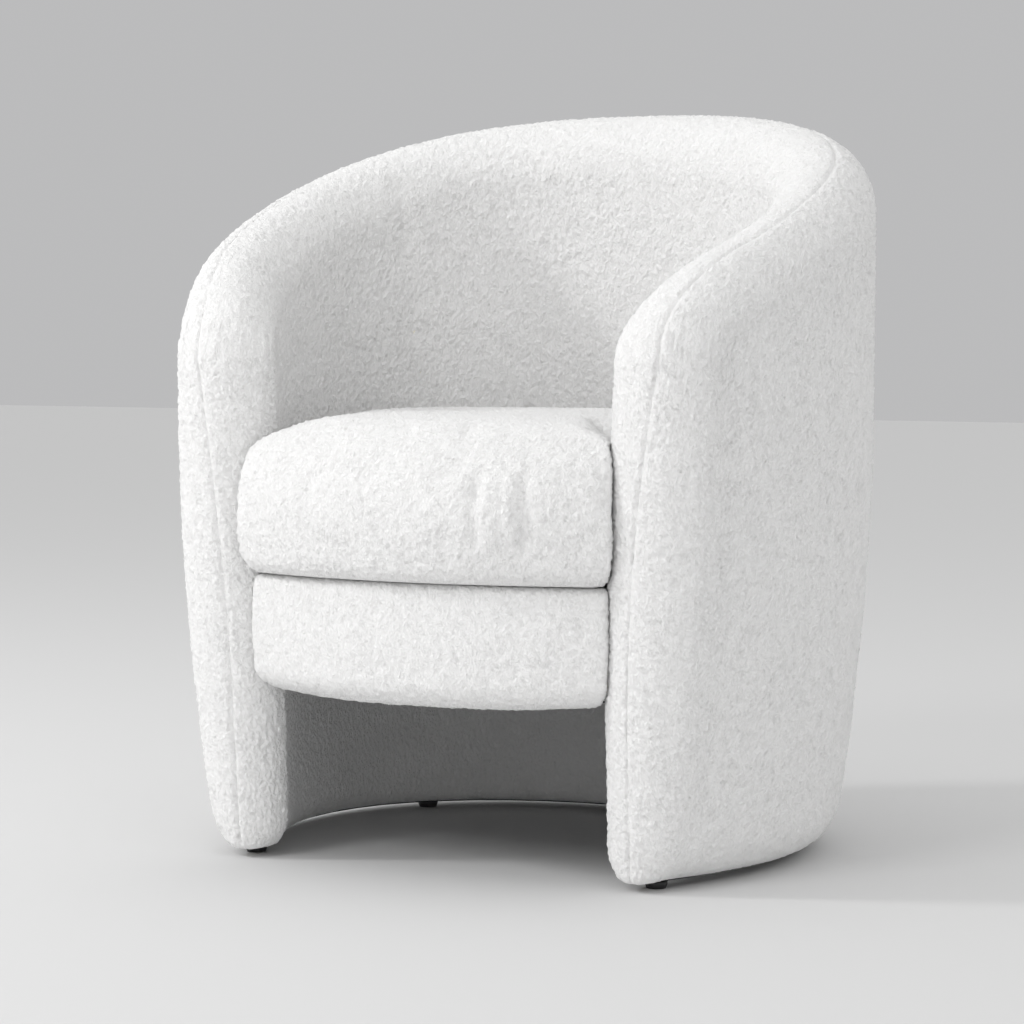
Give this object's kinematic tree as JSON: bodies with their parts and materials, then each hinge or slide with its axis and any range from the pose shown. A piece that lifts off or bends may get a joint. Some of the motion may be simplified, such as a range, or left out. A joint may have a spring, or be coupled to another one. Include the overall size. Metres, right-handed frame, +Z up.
{
  "type": "tub chair",
  "caption": "Upholstered tub chair with a wrap-round barrel shell, arms that slope down from a high back, a bow-fronted seat platform and a loose box cushion.",
  "frame": {"origin": "on the floor, under the middle of the chair's bounding box", "axes": "the chair faces -Y, +X is to the right seen from the front, +Z is up"},
  "size_m": [0.696, 0.631, 0.7691],
  "materials": {
    "cover_cloth": "looped, matt",
    "foam": "open-cell foam, matt",
    "wadding": "fibre wadding, matt",
    "hardboard": "bent hardboard",
    "plywood": "raw plywood",
    "timber": "planed timber",
    "dust_cloth": "thin black cloth",
    "spring_steel": "drawn wire",
    "zinc_steel": "zinc plated",
    "brass": "turned",
    "glide_plastic": "moulded, matt"
  },
  "bodies": {
    "chair": {"outside_cover": "cover_cloth", "inside_cover": "cover_cloth", "rim_roll": "foam", "outside_wadding": "wadding", "outside_board": "hardboard", "inside_foam": "foam", "inside_board": "hardboard", "lower_inside_wadding": "wadding", "bottom_plate": "plywood", "top_rail_left": "plywood", "top_rail_right": "plywood", "top_rail_back": "plywood", "arm_post_left": "timber", "arm_post_right": "timber", "side_rib_left": "timber", "side_rib_right": "timber", "rear_rib_left": "timber", "rear_rib_right": "timber", "back_rib_left": "timber", "back_rib_right": "timber", "cleat_left": "plywood", "cleat_right": "plywood", "cleat_back": "plywood", "platform_cover": "cover_cloth", "platform_front_rail": "timber", "platform_side_rail_left": "timber", "platform_side_rail_right": "timber", "platform_back_rail": "timber", "corner_blocks": "timber", "platform_foam": "foam", "zigzag_springs": "spring_steel", "spring_clips": "zinc_steel", "deck_pad": "foam", "platform_dust_cloth": "dust_cloth", "platform_bolts": "zinc_steel", "threaded_inserts": "brass", "glides": "glide_plastic", "glide_screws": "zinc_steel", "shell_dust_cloth": "dust_cloth"},
    "seat_cushion": {"cushion_cover": "cover_cloth", "cushion_underside": "cover_cloth", "cushion_core": "foam"}
  },
  "joints": [
    {"name": "cushion_lift", "type": "slide", "parent": "chair", "child": "seat_cushion", "axis": [0, 0, 1], "range_m": [0, 0.5]}
  ]
}
